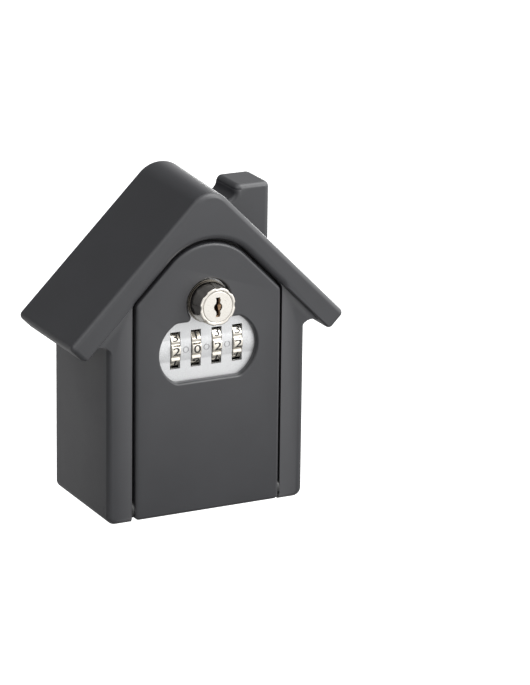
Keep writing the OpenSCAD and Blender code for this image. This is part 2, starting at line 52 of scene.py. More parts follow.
HALF_W = 47.7
PAD_T = 1.5
JAMB_DEPTH = 57.0
FASCIA_DEPTH = 59.5
APEX_Z = 150.6
EAVE_X = 66.6
ROOF_T = 10.3
RIDGE_R = 11.0
RIDGE_SPREAD = 3.0
RIDGE_LEAN = 2.5
BASE_R = 4.0
EDGE_R = 3.0
RIM_R = 2.4
SOFFIT_SUM = APEX_Z - ROOF_T * RT2
SOFFIT_FILLET = 3.5
GABLE_Z = 105.0
WALL = 3.5
CAVITY_SUM = SOFFIT_SUM - 1.1
CEILING_Z = 123.0
REAR_IN = WALL + PAD_T
LEDGE_DEPTH = 51.5
LEDGE_BACK = 48.5
LEDGE_IN = 2.5
LEDGE_Z = 14.0
MOUTH_R = 3.0

CHIMNEY_W = 17.0
CHIMNEY_L = 21.5
CHIMNEY_X = 29.3
CHIMNEY_DEPTH = 30.5
CHIMNEY_Z = 143.0
CHIMNEY_FILLET = 4.5

HALF_DOOR = 35.0
DOOR_FOOT = 1.0
DOOR_DEPTH = 58.5
DOOR_BACK = 53.5
DOOR_GAP = 1.2
DOOR_RIM = 1.6
SHOULDER_PEAK_Z = 134.2
SHOULDER_R = 3.5
ARCH_R = 25.2
HINGE_Z = 5.6
KNUCKLE_R = 4.2
PIN_HOLE_R = 1.55
FOOT_SWING = 6.1
PLATE_DEPTH = 55.5
RECESS_ROLL = 1.2
RECESS_ROLL_START = 2.2
EAR_X = 28.5
EAR_RISE = 10.5
EAR_HOLE_R = 1.3

WALL_HOLE_R = 2.75
WALL_HOLE_X = 28
WALL_HOLE_ZS = (20, 90)

LOCK_Z = 97.1
KNOB_FACE = 67.0
KNOB_BASE = 57.2
KNOB_R = 8.6
KNOB_BASE_R = 9.2
BARREL_R = 8.0
CAP_R = 7.0
CAP_T = 1.1
PLUG_BORE_R = 6.25
BARREL_BACK = 33
CLIP_GROOVE = (33.8, 34.8)
CLIP_GROOVE_R = 7.3
BAR_FLAT = (37.7, 41.3)
BAR_FLAT_R = 7.0

DIAL_R = 10.0
DIAL_W = 4.4
DIAL_XS = [-15.0, -5.0, 5.0, 15.0]
DIAL_Z = 76.0
DIAL_DEPTH = 47.3
SLOT_W = 4.9
SLOT_H = 16.8
SLEEVE_R = 3.05
PLACES = 10
SHOWN = [2, 0, 2, 2]
NUMERAL_H = 3.6
NUMERAL_STRETCH = 1.5

# ---- Outlines ----------------------------------------------------------------------------------


def arc(cx, cy, radius, start, end, steps):
    """Points along an arc, in degrees."""
    points = []
    for i in range(steps + 1):
        angle = math.radians(start + (end - start) * i / steps)
        points.append((cx + radius * math.cos(angle), cy + radius * math.sin(angle)))
    return points


def outline(corners, inset=0.0):
    """Points round a polygon of (x, y, radius, weight) corners, anticlockwise, moved in by inset.

    The edge that starts at a corner moves in by inset times that corner's weight.
    """
    edges = []
    for i, (x, y, _radius, weight) in enumerate(corners):
        next_x, next_y = corners[(i + 1) % len(corners)][:2]
        along = Vector((next_x - x, next_y - y)).normalized()
        inward = Vector((-along.y, along.x))
        edges.append((Vector((x, y)) + inward * inset * weight, along, inward))
    points = []
    for i, (_x, _y, radius, _weight) in enumerate(corners):
        base, along, inward = edges[i]
        base0, along0, inward0 = edges[i - 1]
        turn = math.atan2(along0.cross(along), along0.dot(along))
        corner = base0 + along0 * ((base - base0).cross(along) / along0.cross(along))
        side = 1 if turn > 0 else -1
        steps = 40 if radius > 5 else 8  # broad rounds need more points than small corners
        radius = max(radius - side * inset, 0.02)
        centre = corner - along0 * radius * math.tan(abs(turn) / 2) + inward0 * side * radius
        for step in range(steps + 1):
            spoke = -side * inward0
            spoke.rotate(Matrix.Rotation(turn * step / steps, 2))
            points.append(tuple(centre + spoke * radius))
    return points


def door_corners():
    """Corners of the door's outline."""
    shoulder_z = SHOULDER_PEAK_Z - HALF_DOOR
    return [
        (-HALF_DOOR, DOOR_FOOT, 2.0, 1),
        (HALF_DOOR, DOOR_FOOT, 2.0, 1),
        (HALF_DOOR, shoulder_z, SHOULDER_R, 1),
        (0.0, SHOULDER_PEAK_Z, ARCH_R, 1),
        (-HALF_DOOR, shoulder_z, SHOULDER_R, 1),
    ]


def recess_outline(off):
    """Outline of the dial plate's recess, grown by off: a rounded bar with a lobe round the knob."""
    middle_z, half_h = DIAL_Z - 0.75, 13.4
    end_r, end_x = 15.0, 8.4
    corner_r, lobe_r, fillet = 4.0, 10.2, 2.0
    corner_x = end_x + math.sqrt((end_r - corner_r) ** 2 - (half_h - corner_r) ** 2)
    corner_z = half_h - corner_r
    turn = math.degrees(math.atan2(corner_z, corner_x - end_x))
    lobe = LOCK_Z - middle_z
    dip_z = half_h + fillet
    dip_x = math.sqrt((lobe_r + fillet) ** 2 - (lobe - dip_z) ** 2)
    lean = math.degrees(math.atan2(lobe - dip_z, dip_x))
    right = arc(corner_x, -corner_z, corner_r + off, -90, -turn, 8)
    right += arc(end_x, 0, end_r + off, -turn, turn, 24)[1:]
    right += arc(corner_x, corner_z, corner_r + off, turn, 90, 8)[1:]
    right += arc(dip_x, dip_z, fillet - off, 270, 180 - lean, 10)
    right += arc(0, lobe, lobe_r + off, -lean, 90, 32)[1:]
    left = [(-x, z) for x, z in reversed(right[:-1])]
    return [(x, z + middle_z) for x, z in right + left]


def quarter_round(front, rim, steps=8, drop=None):
    """(depth, inset) pairs for an edge that rolls over towards the front.

    The roll starts a drop behind the front, which is as far as it comes in unless given.
    """
    drop = rim if drop is None else drop
    pairs = []
    for i in range(steps + 1):
        angle = math.radians(90 * i / steps)
        pairs.append((front - drop * (1 - math.sin(angle)), rim * (1 - math.cos(angle))))
    return pairs


# ---- Mesh helpers ------------------------------------------------------------------------------


def new_object(name, bm):
    """Link a bmesh in millimetres as an object in metres."""
    bmesh.ops.remove_doubles(bm, verts=bm.verts, dist=0.0005)
    bmesh.ops.recalc_face_normals(bm, faces=bm.faces)
    bmesh.ops.scale(bm, vec=(MM, MM, MM), verts=bm.verts)
    mesh = bpy.data.meshes.new(name)
    bm.to_mesh(mesh)
    bm.free()
    obj = bpy.data.objects.new(name, mesh)
    bpy.context.scene.collection.objects.link(obj)
    return obj


def loft(name, rings, closed=False):
    """Skin over rings of points. The ends are capped, or joined to each other where closed."""
    bm = bmesh.new()
    rows = [[bm.verts.new(point) for point in ring] for ring in rings]
    count = len(rings[0])
    pairs = list(zip(rows, rows[1:]))
    if closed:
        pairs.append((rows[-1], rows[0]))
    else:
        bm.faces.new(list(reversed(rows[0])))
        bm.faces.new(rows[-1])
    for low, high in pairs:
        for i in range(count):
            j = (i + 1) % count
            bm.faces.new((low[i], low[j], high[j], high[i]))
    return new_object(name, bm)


def at_depth(points, depth):
    """Points drawn in X and Z, placed at a depth."""
    return [(x, -depth, z) for x, z in points]


def panel(name, points, back, front):
    """Straight extrusion of an outline drawn in X and Z."""
    return loft(name, [at_depth(points, back), at_depth(points, front)])


def box(name, xs, depths, zs):
    """Block between two values of each of X, depth and Z."""
    return panel(name, [(xs[0], zs[0]), (xs[1], zs[0]), (xs[1], zs[1]), (xs[0], zs[1])], *depths)


def rod_y(name, radius, back, front, x, z, steps=48):
    """Rod that runs from back to front."""
    return panel(name, arc(x, z, radius, 0, 360 - 360 / steps, steps - 1), back, front)


def rod_x(name, radius, x0, x1, depth, z, steps=48):
    """Rod that runs from left to right."""
    ring = arc(-depth, z, radius, 0, 360 - 360 / steps, steps - 1)
    return loft(name, [[(x, y, h) for y, h in ring] for x in (x0, x1)])


def combine(target, other, operation):
    """Boolean of two objects. The second one is used up."""
    modifier = target.modifiers.new("boolean", "BOOLEAN")
    modifier.operation = operation
    modifier.solver = "EXACT"
    modifier.object = other
    graph = bpy.context.evaluated_depsgraph_get()
    mesh = bpy.data.meshes.new_from_object(target.evaluated_get(graph))
    target.modifiers.remove(modifier)
    old = target.data
    target.data = mesh
    mesh.name = target.name
    bpy.data.meshes.remove(old)
    bpy.data.objects.remove(other)


def cut(target, *tools):
    """Take the tools away from the target."""
    for tool in tools:
        combine(target, tool, "DIFFERENCE")


def join(target, *others):
    """Add the others to the target."""
    for other in others:
        combine(target, other, "UNION")


def soften(obj, angle=32.0, bevel=0.0):
    """Clean the mesh, bevel its sharp edges and shade the rest smooth."""
    bm = bmesh.new()
    bm.from_mesh(obj.data)
    bmesh.ops.remove_doubles(bm, verts=bm.verts, dist=2e-6)
    bmesh.ops.dissolve_degenerate(bm, edges=bm.edges, dist=1e-6)
    bm.to_mesh(obj.data)
    bm.free()
    if bevel:
        modifier = obj.modifiers.new("bevel", "BEVEL")
        modifier.width = bevel * MM
        modifier.segments = 2
        modifier.limit_method = "ANGLE"
        modifier.angle_limit = math.radians(angle)
        modifier.harden_normals = False
    obj.data.shade_smooth()
    obj.data.set_sharp_from_angle(angle=math.radians(angle))
    weighted = obj.modifiers.new("weighted", "WEIGHTED_NORMAL")
    weighted.keep_sharp = True
    weighted.weight = 80


def place(obj, body, slot, material, *nodes):
    """Hand a finished piece to the frame."""
    obj.data.materials.clear()
    obj.data.materials.append(material)
    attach(obj, body)
    if nodes:
        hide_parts(*nodes)


# ---- Materials ---------------------------------------------------------------------------------


def shader(name, base, roughness, metallic=0.0):
    """A material with a Principled shader, and the tools to build on it."""
    material = bpy.data.materials.new(name)
    material.use_nodes = True
    tree = material.node_tree
    bsdf = tree.nodes["Principled BSDF"]
    bsdf.inputs["Base Color"].default_value = (*base, 1)
    bsdf.inputs["Roughness"].default_value = roughness
    bsdf.inputs["Metallic"].default_value = metallic
    coordinates = tree.nodes.new("ShaderNodeTexCoord")
    return material, tree, bsdf, coordinates.outputs["Object"]


def noise(tree, vector, scale, detail=4.0, stretch=(1, 1, 1)):
    """Noise whose scale is given in features per metre."""
    mapping = tree.nodes.new("ShaderNodeMapping")
    mapping.inputs["Scale"].default_value = stretch
    tree.links.new(vector, mapping.inputs["Vector"])
    node = tree.nodes.new("ShaderNodeTexNoise")
    node.inputs["Scale"].default_value = scale
    node.inputs["Detail"].default_value = detail
    tree.links.new(mapping.outputs["Vector"], node.inputs["Vector"])
    return node.outputs["Fac"]


def ramp(tree, value, low, high):
    """Map a 0 to 1 value onto the range low to high."""
    node = tree.nodes.new("ShaderNodeMapRange")
    node.inputs["From Min"].default_value = 0.3
    node.inputs["From Max"].default_value = 0.7
    node.inputs["To Min"].default_value = low
    node.inputs["To Max"].default_value = high
    tree.links.new(value, node.inputs["Value"])
    return node.outputs["Result"]


def tint(tree, value, dark, light):
    """Mix two colours by a 0 to 1 value. A colour is three numbers, or another node's output."""
    node = tree.nodes.new("ShaderNodeMix")
    node.data_type = "RGBA"
    for end, colour in (("A", dark), ("B", light)):
        if isinstance(colour, tuple):
            node.inputs[end].default_value = (*colour, 1)
        else:
            tree.links.new(colour, node.inputs[end])
    tree.links.new(value, node.inputs["Factor"])
    return node.outputs["Result"]


def bump(tree, bsdf, height, strength, distance):
    """Raise the surface by a 0 to 1 value, over a distance in metres."""
    node = tree.nodes.new("ShaderNodeBump")
    node.inputs["Strength"].default_value = strength
    node.inputs["Distance"].default_value = distance
    tree.links.new(height, node.inputs["Height"])
    tree.links.new(node.outputs["Normal"], bsdf.inputs["Normal"])


def edge_wear(tree):
    """Mask for the painted rim highlights: nothing on flat faces, rising to one on the tightest outer
    edges.
    """
    geometry = tree.nodes.new("ShaderNodeNewGeometry")
    fade = tree.nodes.new("ShaderNodeMapRange")
    fade.inputs["From Min"].default_value = 0.51
    fade.inputs["From Max"].default_value = 0.6
    tree.links.new(geometry.outputs["Pointiness"], fade.inputs["Value"])
    return fade.outputs["Result"]


def black_coat():
    """Matt powder coat: fine orange peel, a slight cloudiness, and paler edges that are painted highlights
    along the rims.
    """
    material, tree, bsdf, place_at = shader("black_coat", (0.018, 0.018, 0.019), 0.4)
    cloud = noise(tree, place_at, 60)
    grain = noise(tree, place_at, 2600, detail=2)
    coat = tint(tree, cloud, (0.0155, 0.016, 0.018), (0.0205, 0.021, 0.024))
    # The paler colour on the rims is a painted highlight
    highlighted_coat = tint(tree, edge_wear(tree), coat, (0.09, 0.09, 0.094))
    tree.links.new(highlighted_coat, bsdf.inputs["Base Color"])
    tree.links.new(ramp(tree, cloud, 0.33, 0.39), bsdf.inputs["Roughness"])
    bump(tree, bsdf, grain, 0.16, 0.00006)
    return material


def satin_silver():
    """Silver paint with a fine metallic sparkle."""
    material, tree, bsdf, place_at = shader("satin_silver", (0.6, 0.61, 0.62), 0.42, 0.75)
    fleck = noise(tree, place_at, 3800, detail=1)
    colour = tint(tree, ramp(tree, fleck, 0, 1), (0.46, 0.465, 0.47), (0.64, 0.645, 0.65))
    tree.links.new(colour, bsdf.inputs["Base Color"])
    tree.links.new(ramp(tree, fleck, 0.5, 0.34), bsdf.inputs["Roughness"])
    bump(tree, bsdf, fleck, 0.15, 0.00004)
    return material


def plated(name, base, dull, bright, scale=900):
    """Plated metal whose polish varies a little, with faint handling marks."""
    material, tree, bsdf, place_at = shader(name, base, bright, 1.0)
    haze = noise(tree, place_at, scale)
    tree.links.new(ramp(tree, haze, bright, dull), bsdf.inputs["Roughness"])
    dark = tuple(0.88 * c for c in base)
    tree.links.new(tint(tree, haze, dark, base), bsdf.inputs["Base Color"])
    bump(tree, bsdf, haze, 0.04, 0.00005)
    return material


def turned(name, base, roughness, stretch):
    """Machined metal with tool marks drawn out along one direction."""
    material, tree, bsdf, place_at = shader(name, base, roughness, 1.0)
    marks = noise(tree, place_at, 900, detail=6, stretch=stretch)
    dark = tuple(0.75 * c for c in base)
    tree.links.new(tint(tree, marks, dark, base), bsdf.inputs["Base Color"])
    tree.links.new(ramp(tree, marks, roughness - 0.08, roughness + 0.12), bsdf.inputs["Roughness"])
    bump(tree, bsdf, marks, 0.25, 0.00004)
    return material


def cast_zinc():
    """As-cast zinc alloy: grey, with a pebbled skin."""
    material, tree, bsdf, place_at = shader("cast_zinc", (0.42, 0.42, 0.43), 0.5, 1.0)
    skin = noise(tree, place_at, 1400, detail=5)
    tree.links.new(tint(tree, skin, (0.3, 0.3, 0.31), (0.5, 0.5, 0.51)), bsdf.inputs["Base Color"])
    tree.links.new(ramp(tree, skin, 0.42, 0.62), bsdf.inputs["Roughness"])
    bump(tree, bsdf, skin, 0.4, 0.0001)
    return material


def soft_plastic(name, dark, light, roughness, scale=700):
    """Moulded rubber or plastic with a fine, even texture."""
    material, tree, bsdf, place_at = shader(name, dark, roughness)
    texture = noise(tree, place_at, scale, detail=3)
    tree.links.new(tint(tree, texture, dark, light), bsdf.inputs["Base Color"])
    tree.links.new(ramp(tree, texture, roughness - 0.06, roughness + 0.06), bsdf.inputs["Roughness"])
    bump(tree, bsdf, texture, 0.3, 0.0001)
    return material


COAT = black_coat()
SILVER = satin_silver()
CHROME = plated("warm_chrome", (0.64, 0.61, 0.56), 0.16, 0.07)
# Darkened copy of the chrome: painted shade for the dark ring around the knob's base, where the lock
# collar sits
SHADED_CHROME = plated("shaded_chrome", (0.16, 0.15, 0.135), 0.3, 0.16)
CAP = plated("cap_nickel", (0.66, 0.635, 0.59), 0.34, 0.24)
NICKEL = plated("dial_nickel", (0.76, 0.72, 0.64), 0.3, 0.16)
STEEL = turned("zinc_plated_steel", (0.62, 0.62, 0.6), 0.34, (1, 1, 6))
BRASS = turned("machined_brass", (0.76, 0.55, 0.27), 0.3, (6, 1, 1))
# Darkened copy of the brass: painted shade for the dark inside of the keyway
SHADED_BRASS = turned("shaded_brass", (0.3, 0.2, 0.13), 0.34, (6, 1, 1))
ZINC = cast_zinc()
RUBBER = soft_plastic("rubber", (0.012, 0.012, 0.012), (0.022, 0.022, 0.022), 0.72)
NYLON = soft_plastic("nylon", (0.02, 0.02, 0.02), (0.035, 0.035, 0.035), 0.45)
PLASTIC = soft_plastic("black_plastic", (0.015, 0.015, 0.015), (0.028, 0.028, 0.028), 0.4)
MARK = plated("index_grey", (0.36, 0.36, 0.37), 0.45, 0.3)
INK = soft_plastic("numeral_ink", (0.006, 0.006, 0.006), (0.014, 0.012, 0.01), 0.5)

NODE_MATERIALS = {
    "rear_pad": RUBBER,
    "hinge_pin": STEEL,
    "hinge_washers": NYLON,
    "door_seal": RUBBER,
    "strike_plate": STEEL,
    "strike_screws": STEEL,
    "key_hook": STEEL,
    "floor_mat": RUBBER,
    "lock_collar": SHADED_CHROME,
    "lock_housing": ZINC,
    "housing_cover": ZINC,
    "cover_screws": STEEL,
    "dial_axle": STEEL,
    "detent_spring": STEEL,
    "tumbler_1": BRASS,
    "tumbler_2": BRASS,
    "tumbler_3": BRASS,
    "tumbler_4": BRASS,
    "retaining_clip": STEEL,
    "key_plug": SHADED_BRASS,
    "wafers": BRASS,
    "cam": STEEL,
    "cam_washer": STEEL,
    "cam_screw": STEEL,
    "locking_bar": BRASS,
    "code_change_lever": PLASTIC,
}
for node_name, node_material in NODE_MATERIALS.items():
    node_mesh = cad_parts[node_name].data
    node_mesh.materials.clear()
    node_mesh.materials.append(node_material)

# ---- Case --------------------------------------------------------------------------------------


def case_body():
    """The house below its roof, with fillets under the eaves."""
    hidden = 4.0
    line = SOFFIT_SUM + 0.05
    corners = [
        (-HALF_W, 0.0, BASE_R, 1),
        (HALF_W, 0.0, BASE_R, 1),
        (HALF_W, line - HALF_W, SOFFIT_FILLET, 0),
        (HALF_W + 6, line - HALF_W - 6, 0.1, 0),
        (HALF_W + 6 + hidden, line - HALF_W - 6 + hidden, 0.1, 0),
        (0.0, line + 2 * hidden, 0.1, 0),
        (-HALF_W - 6 - hidden, line - HALF_W - 6 + hidden, 0.1, 0),
        (-HALF_W - 6, line - HALF_W - 6, 0.1, 0),
        (-HALF_W, line - HALF_W, SOFFIT_FILLET, 1),
    ]
    slices = [(PAD_T, 0.0)] + quarter_round(JAMB_DEPTH, RIM_R)
    return loft("case_body", [at_depth(outline(corners, inset), depth) for depth, inset in slices])


def roof_slab():
    """Both slopes of the roof, and the gable between them."""
    eave_z = APEX_Z - EAVE_X
    inner = ROOF_T / RT2
    gable_x = SOFFIT_SUM - GABLE_Z
    front = quarter_round(FASCIA_DEPTH, RIM_R)
    back = [(PAD_T + FASCIA_DEPTH - depth, inset) for depth, inset in reversed(front)]
    rings = []
    for depth, inset in back + front:
        # Towards the back the ridge grows broader and leans over to the right
        share = (FASCIA_DEPTH - depth) / (FASCIA_DEPTH - PAD_T)
        lean = RIDGE_LEAN * share
        corners = [
            (-EAVE_X + inner, eave_z - inner, 2.4, 0.45),
            (-gable_x, GABLE_Z, 0.1, 0),
            (gable_x, GABLE_Z, 0.1, 0.45),
            (EAVE_X - inner, eave_z - inner, 2.4, 1),
            (EAVE_X, eave_z, 2.4, 1),
            (lean, APEX_Z + lean, RIDGE_R + RIDGE_SPREAD * share, 1),
            (-EAVE_X, eave_z, 2.4, 1),
        ]
        rings.append(at_depth(outline(corners, inset), depth))
    return loft("roof", rings)


def chimney_block():
    """Soft-edged block that stands on the right slope."""
    half_w = CHIMNEY_W / 2
    half_l = CHIMNEY_L / 2
    corners = [
        (CHIMNEY_X - half_w, -CHIMNEY_DEPTH - half_l, EDGE_R, 1),
        (CHIMNEY_X + half_w, -CHIMNEY_DEPTH - half_l, EDGE_R, 1),
        (CHIMNEY_X + half_w, -CHIMNEY_DEPTH + half_l, EDGE_R, 1),
        (CHIMNEY_X - half_w, -CHIMNEY_DEPTH + half_l, EDGE_R, 1),
    ]
    slices = [(GABLE_Z - half_w, 0.0)] + quarter_round(CHIMNEY_Z, RIM_R)
    return loft(
        "chimney", [[(x, y, z) for x, y in outline(corners, inset)] for z, inset in slices]
    )


def chimney_fillet():
    """Fillet where the chimney's inner face meets the roof."""
    left = CHIMNEY_X - CHIMNEY_W / 2
    radius = CHIMNEY_FILLET
    centre_x = left - radius
    centre_z = APEX_Z + radius * RT2 - centre_x
    hidden_x = left + 3
    front = quarter_round(CHIMNEY_DEPTH + CHIMNEY_L / 2, RIM_R)
    back = [(2 * CHIMNEY_DEPTH - depth, inset) for depth, inset in reversed(front)]
    rings = []
    for depth, inset in back + front:
        profile = [(hidden_x, APEX_Z - left - ROOF_T / 2), (hidden_x, centre_z)]
        profile += arc(centre_x, centre_z, radius + inset, 0, -135, 16)
        profile.reverse()
        rings.append(at_depth(profile, depth))
    return loft("fillet", rings)


def chimney():
    """Chimney in one piece with its fillet."""
    block = chimney_block()
    join(block, chimney_fillet())
    return block


def door_mouth():
    """Cutter for the door opening, which flares out softly through the gable."""
    corners = door_corners()
    rings = [at_depth(outline(corners, -DOOR_GAP), LEDGE_DEPTH)]
    for depth, flare in quarter_round(FASCIA_DEPTH, MOUTH_R, 10):
        rings.append(at_depth(outline(corners, -DOOR_GAP - flare), depth))
    rings.append(at_depth(outline(corners, -DOOR_GAP - MOUTH_R), FASCIA_DEPTH + 5))
    return loft("mouth", rings)


def key_space():
    """Cutter for the space inside the case."""
    inside = HALF_W - WALL
    points = [
        (-inside, WALL),
        (inside, WALL),
        (inside, CAVITY_SUM - inside),
        (CAVITY_SUM - CEILING_Z, CEILING_Z),
        (CEILING_Z - CAVITY_SUM, CEILING_Z),
        (-inside, CAVITY_SUM - inside),
    ]
    return panel("space", points, REAR_IN, LEDGE_BACK)


def roof_core(side):
    """Cutter for the hollow cast into one slope of the roof from behind."""
    metal, span, front = 2.75, 62.0, 8.0
    origin = Vector((EAVE_X, APEX_Z - EAVE_X))
    up_slope = Vector((-1, 1)) / RT2
    inward = Vector((-1, -1)) / RT2
    ends = (2 * metal, 2 * metal + span)
    layers = (metal, ROOF_T - metal)
    points = [
        origin + up_slope * ends[0] + inward * layers[1],
        origin + up_slope * ends[0] + inward * layers[0],
        origin + up_slope * ends[1] + inward * layers[0],
        origin + up_slope * ends[1] + inward * layers[1],
    ]
    return panel("core", [(side * p.x, p.y) for p in points], -1, FASCIA_DEPTH - front)


def swing_space():
    """Cutter for the room that the door's foot needs as it swings."""
    opening = HALF_DOOR + DOOR_GAP
    return box("swing", (-opening, opening), (DOOR_BACK - FOOT_SWING, FASCIA_DEPTH + 1), (-1, LEDGE_Z))


def build_shell():
    """Case with its roof and chimney, opened for the door, the keys, the pin and the wall screws."""
    shell = roof_slab()
    shell.name = "house_case"
    join(shell, case_body(), chimney())
    cut(shell, door_mouth())
    cut(shell, panel("ledge", outline(door_corners(), LEDGE_IN), LEDGE_BACK - 0.5, LEDGE_DEPTH + 0.5))
    cut(shell, swing_space())
    cut(shell, key_space(), roof_core(1), roof_core(-1))
    cut(shell, rod_x("pin_hole", PIN_HOLE_R, WALL - HALF_W, HALF_W + 1, DOOR_BACK, HINGE_Z))
    for x in (-WALL_HOLE_X, WALL_HOLE_X):
        for z in WALL_HOLE_ZS:
            cut(shell, rod_y("wall_hole", WALL_HOLE_R, -1, REAR_IN + 1, x, z))
    soften(shell)
    place(shell, "case", "black_coat", COAT, "body_shell")


# ---- Door --------------------------------------------------------------------------------------


def recess_mouth():
    """Cutter for the recess of the dial plate, which rolls over at its lip."""
    rings = [at_depth(recess_outline(0), DOOR_BACK - 1)]
    for depth, flare in quarter_round(DOOR_DEPTH, RECESS_ROLL, drop=RECESS_ROLL_START):
        rings.append(at_depth(recess_outline(flare), depth))
    rings.append(at_depth(recess_outline(RECESS_ROLL), DOOR_DEPTH + 2))
    return loft("recess", rings)


def build_door():
    """Door with its hinge knuckle, the recess and seat of the dial plate, and the lock's screw holes."""
    corners = door_corners()
    slices = [(DOOR_BACK, 0.0)] + quarter_round(DOOR_DEPTH, DOOR_RIM)
    door = loft("door", [at_depth(outline(corners, inset), depth) for depth, inset in slices])
    join(door, rod_x("knuckle", KNUCKLE_R, -HALF_DOOR, HALF_DOOR, DOOR_BACK, HINGE_Z))
    cut(door, rod_x("pin_hole", PIN_HOLE_R, -HALF_DOOR - 1, HALF_DOOR + 1, DOOR_BACK, HINGE_Z))
    cut(door, recess_mouth())
    cut(door, panel("seat", recess_outline(1.3), DOOR_BACK - 1, PLATE_DEPTH))
    cut(door, box("pocket", (-29, 29), (DOOR_BACK - 1, DOOR_BACK + 2), (14, 52)))
    for x in (-EAR_X, EAR_X):
        for z in (DIAL_Z - EAR_RISE, DIAL_Z + EAR_RISE):
            cut(door, rod_y("ear_hole", EAR_HOLE_R, DOOR_BACK - 1, DOOR_BACK + 3, x, z))
    soften(door)
    place(door, "door", "black_coat", COAT, "door_panel")


def build_plate():
    """Dial plate with a low crowned band along the dials."""
    plate = panel("dial_face", recess_outline(1.2), DOOR_BACK, PLATE_DEPTH)
    band_h, rise = 5.2, 0.45
    radius = (band_h ** 2 + rise ** 2) / (2 * rise)
    half_angle = math.degrees(math.asin(band_h / radius))
    crown = arc(-(PLATE_DEPTH + rise - radius), DIAL_Z, radius, 180 + half_angle, 180 - half_angle, 16)
    crown += [(1 - PLATE_DEPTH, DIAL_Z + band_h), (1 - PLATE_DEPTH, DIAL_Z - band_h)]
    band = loft("band", [[(x, y, z) for y, z in crown] for x in (-30, 30)])
    combine(band, panel("trim", recess_outline(-0.02), DOOR_BACK, DOOR_DEPTH), "INTERSECT")
    join(plate, band)
    for x in DIAL_XS:
        cut(plate, box("slot", (x - SLOT_W / 2, x + SLOT_W / 2), (DOOR_BACK - 1, DOOR_DEPTH),
                       (DIAL_Z - SLOT_H / 2, DIAL_Z + SLOT_H / 2)))
    cut(plate, rod_y("bore", BARREL_R + 0.05, DOOR_BACK - 1, DOOR_DEPTH, 0, LOCK_Z, steps=64))
    soften(plate, angle=20)
    place(plate, "door", "satin_silver", SILVER, "dial_plate")


def build_index_marks():
    """Small raised rings between the dials, on the line where the code is read."""
    ring_r, wire_r = 1.25, 0.22
    seat_depth = PLATE_DEPTH + 0.4
    rings = []
    for x in [(a + b) / 2 for a, b in zip(DIAL_XS, DIAL_XS[1:])]:
        section = arc(ring_r, 0, wire_r, 0, 330, 11)
        hoop = []
        for i in range(32):
            angle = math.radians(360 * i / 32)
            hoop.append([(x + r * math.cos(angle), -seat_depth - h, DIAL_Z + r * math.sin(angle))
                         for r, h in section])
        rings.append(loft("index_ring", hoop, closed=True))
    marks = rings[0]
    marks.name = "index_marks"
    join(marks, *rings[1:])
    soften(marks, angle=60)
    place(marks, "door", "satin_silver", MARK)


# ---- Dials -------------------------------------------------------------------------------------


def wheel_radius(angle):
    """Radius of a dial wheel at an angle in degrees, where a number sits at 0."""
    pitch = 360 / PLACES
    groove_half, groove_depth = 8.5, 0.8
    from_groove = abs((angle % pitch) - pitch / 2)
    if from_groove >= groove_half:
        return DIAL_R
    return DIAL_R - groove_depth * math.cos(math.radians(90 * from_groove / groove_half)) ** 2


def build_wheel(number, x):
    """Dial wheel with finger grooves between its numbers."""
    steps = 240
    half = DIAL_W / 2
    section = [(-half, 0.45), (-half + 0.12, 0.18), (-half + 0.4, 0.0),
               (half - 0.4, 0.0), (half - 0.12, 0.18), (half, 0.45)]
    rings = []
    for offset, inset in section:
        ring = []
        for i in range(steps):
            angle = 360 * i / steps
            radius = wheel_radius(angle) - inset
            ring.append((x + offset, -DIAL_DEPTH - radius * math.cos(math.radians(angle)),
                         DIAL_Z + radius * math.sin(math.radians(angle))))
        rings.append(ring)
    for offset in (half, -half):
        rings.append([(x + offset, -DIAL_DEPTH - SLEEVE_R * math.cos(math.radians(360 * i / steps)),
                       DIAL_Z + SLEEVE_R * math.sin(math.radians(360 * i / steps)))
                      for i in range(steps)])
    wheel = loft(f"dial_{number}_wheel", rings, closed=True)
    soften(wheel, angle=40)
    place(wheel, f"dial_{number}", "nickel", NICKEL, f"dial_wheel_{number}")


def numeral(digit, height):
    """Flat mesh of a digit, centred on the origin, in millimetres."""
    curve = bpy.data.curves.new("numeral", "FONT")
    curve.body = str(digit)
    curve.align_x = "CENTER"
    curve.size = 1
    curve.resolution_u = 6
    curve.extrude = 0.04
    curve.offset = 0.012
    source = bpy.data.objects.new("numeral", curve)
    bpy.context.scene.collection.objects.link(source)
    graph = bpy.context.evaluated_depsgraph_get()
    mesh = bpy.data.meshes.new_from_object(source.evaluated_get(graph))
    bpy.data.objects.remove(source)
    bm = bmesh.new()
    bm.from_mesh(mesh)
    bpy.data.meshes.remove(mesh)
    lows = [min(v.co[axis] for v in bm.verts) for axis in range(2)]
    highs = [max(v.co[axis] for v in bm.verts) for axis in range(2)]
    scale = height / (highs[1] - lows[1])
    for v in bm.verts:
        v.co.x = (v.co.x - (lows[0] + highs[0]) / 2) * scale * NUMERAL_STRETCH
        v.co.y = (v.co.y - (lows[1] + highs[1]) / 2) * scale
    slices = 9
    for i in range(1, slices):
        level = height * (i / slices - 0.5)
        parts = bm.verts[:] + bm.edges[:] + bm.faces[:]
        bmesh.ops.bisect_plane(bm, geom=parts, plane_co=(0, level, 0), plane_no=(0, 1, 0))
    return bm


def build_numerals(number, x, shown):
    """The ten numbers of one dial, wrapped round its wheel."""
    bm = bmesh.new()
    for place_index in range(PLACES):
        digit_bm = numeral((shown + place_index) % PLACES, height=NUMERAL_H)
        for v in digit_bm.verts:
            lift = 0.035 if v.co.z > 0 else -0.3
            radius = DIAL_R + lift
            angle = math.radians(360 * place_index / PLACES) + v.co.y / DIAL_R
            v.co = Vector((x + v.co.x, -DIAL_DEPTH - radius * math.cos(angle),
                           DIAL_Z + radius * math.sin(angle)))
        part = bpy.data.meshes.new("part")
        digit_bm.to_mesh(part)
        digit_bm.free()
        bm.from_mesh(part)
        bpy.data.meshes.remove(part)
    numbers = new_object(f"dial_{number}_numerals", bm)
    place(numbers, f"dial_{number}", "black_plastic", INK)


# ---- Knob --------------------------------------------------------------------------------------


